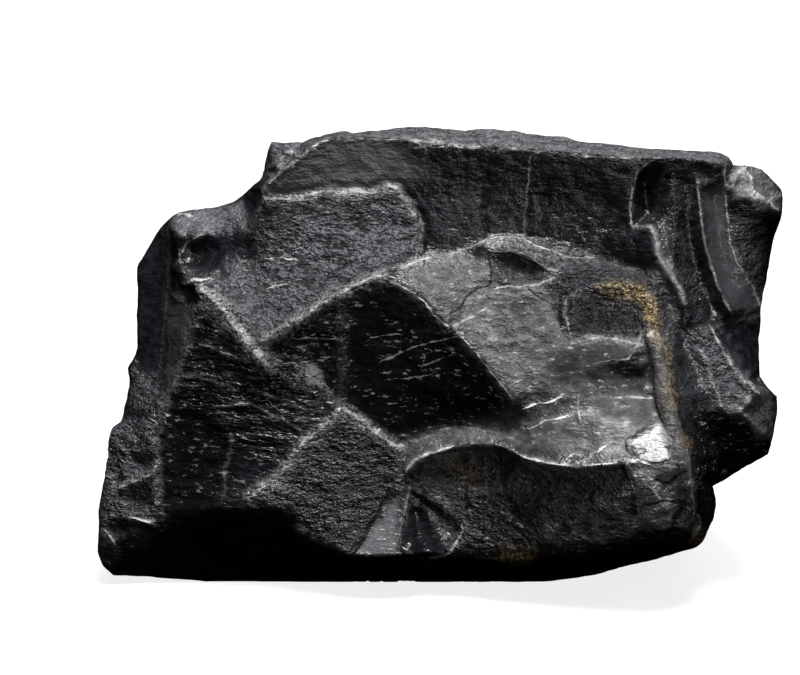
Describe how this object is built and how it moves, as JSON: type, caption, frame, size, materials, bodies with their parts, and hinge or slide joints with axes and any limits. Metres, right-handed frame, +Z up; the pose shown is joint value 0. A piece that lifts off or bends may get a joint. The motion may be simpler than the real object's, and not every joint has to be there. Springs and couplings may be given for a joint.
{
  "type": "shungite stone",
  "caption": "Raw black shungite stone with glassy scalloped breaks, rough grey patches and sharp ridges, standing on a flat base.",
  "frame": {"origin": "a point on the flat underside that the stone stands on, under the middle of the stone", "axes": "+Z up; +X to the right along the stone's longest way, seen from the broken face; -Y out of the broken face"},
  "size_m": [0.1032, 0.0595, 0.0686],
  "materials": {
    "shungite": "black, from glassy to satin on fresh breaks, dull and granular on crushed patches"
  },
  "bodies": {
    "root": {"shungite_stone": "shungite"}
  },
  "joints": []
}
